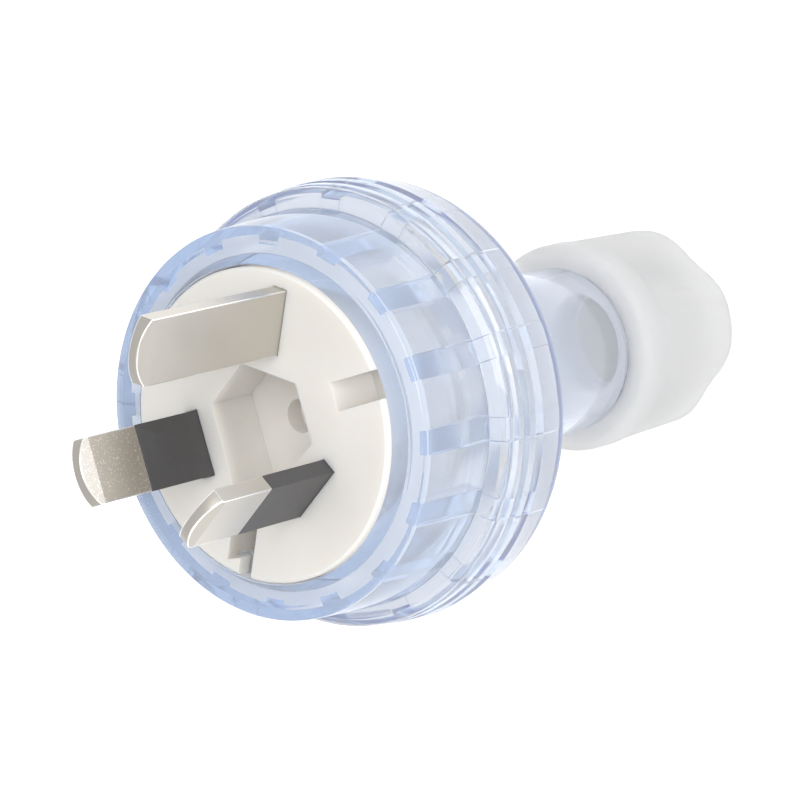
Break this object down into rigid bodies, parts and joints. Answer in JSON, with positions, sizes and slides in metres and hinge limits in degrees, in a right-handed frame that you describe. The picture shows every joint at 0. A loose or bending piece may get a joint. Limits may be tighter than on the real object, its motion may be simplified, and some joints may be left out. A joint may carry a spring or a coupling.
{
  "type": "three-pin plug",
  "caption": "Straight rewirable mains plug with flat angled pins on a white base, a clear ring-grooved housing with a long neck, and a lobed gland nut for the cord.",
  "frame": {"origin": "on the plug's axis at the flat rear face of the gland nut, which it stands on", "axes": "+Z along the axis towards the pins, +Y towards the earth pin"},
  "size_m": [0.0434, 0.0434, 0.085],
  "materials": {
    "clear_plastic": "clear, polished",
    "white_plastic": "fine satin",
    "plated_brass": "nickel plated, satin",
    "black_sleeve": "satin",
    "terminal_brass": "machined",
    "screw_steel": "zinc plated",
    "milky_plastic": "milky, slightly translucent",
    "grip_rubber": "soft, matt"
  },
  "bodies": {
    "root": {"housing": "clear_plastic", "pin_base": "white_plastic", "earth_pin": "plated_brass", "active_pin": "plated_brass", "neutral_pin": "plated_brass", "active_sleeve": "black_sleeve", "neutral_sleeve": "black_sleeve", "earth_terminal": "terminal_brass", "active_terminal": "terminal_brass", "neutral_terminal": "terminal_brass", "terminal_screws": "screw_steel", "gland_nut": "milky_plastic", "cord_grip": "grip_rubber"}
  },
  "joints": []
}
